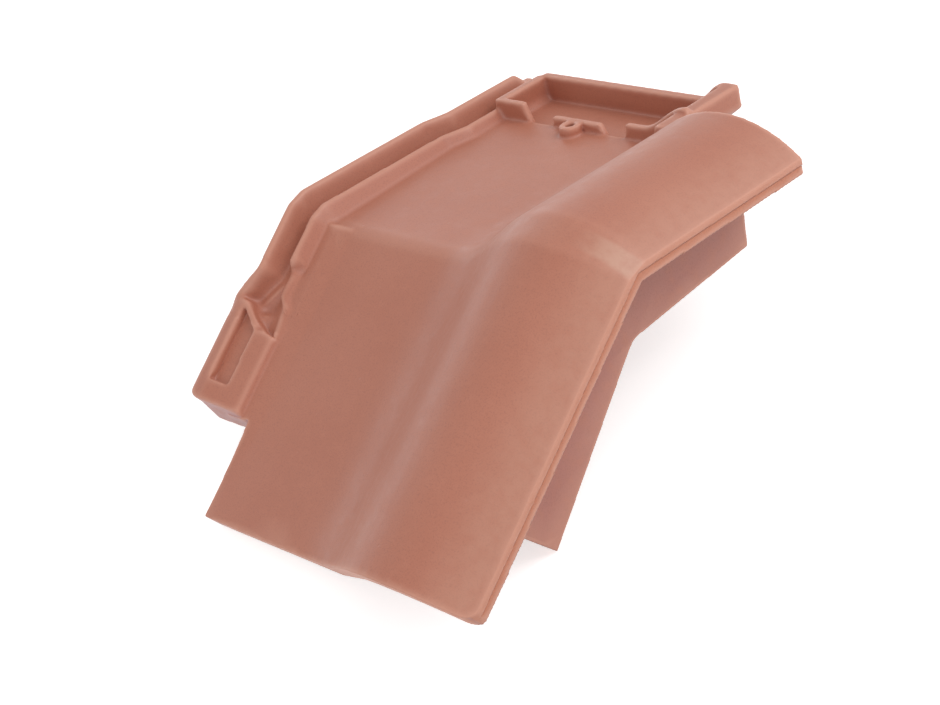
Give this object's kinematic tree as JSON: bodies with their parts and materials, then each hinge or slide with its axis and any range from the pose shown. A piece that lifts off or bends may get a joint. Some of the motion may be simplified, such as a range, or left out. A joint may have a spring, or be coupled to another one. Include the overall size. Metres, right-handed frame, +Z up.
{
  "type": "roof tile",
  "caption": "Interlocking clay roof tile bent across its middle, with a flat pan, side roll, ribbed side and head locks, nail hole and hanging nibs; it turns a course over a mansard's knee.",
  "frame": {"origin": "on the floor, in the middle of the tile's box as it lies", "axes": "+Z up from the floor, +X across the tile from the side lock to the roll, +Y from the foot to the head"},
  "size_m": [0.2824, 0.3604, 0.1318],
  "materials": {
    "clay": "matte, unglazed, natural red fired clay"
  },
  "bodies": {
    "root": {"tile": "clay"}
  },
  "joints": []
}
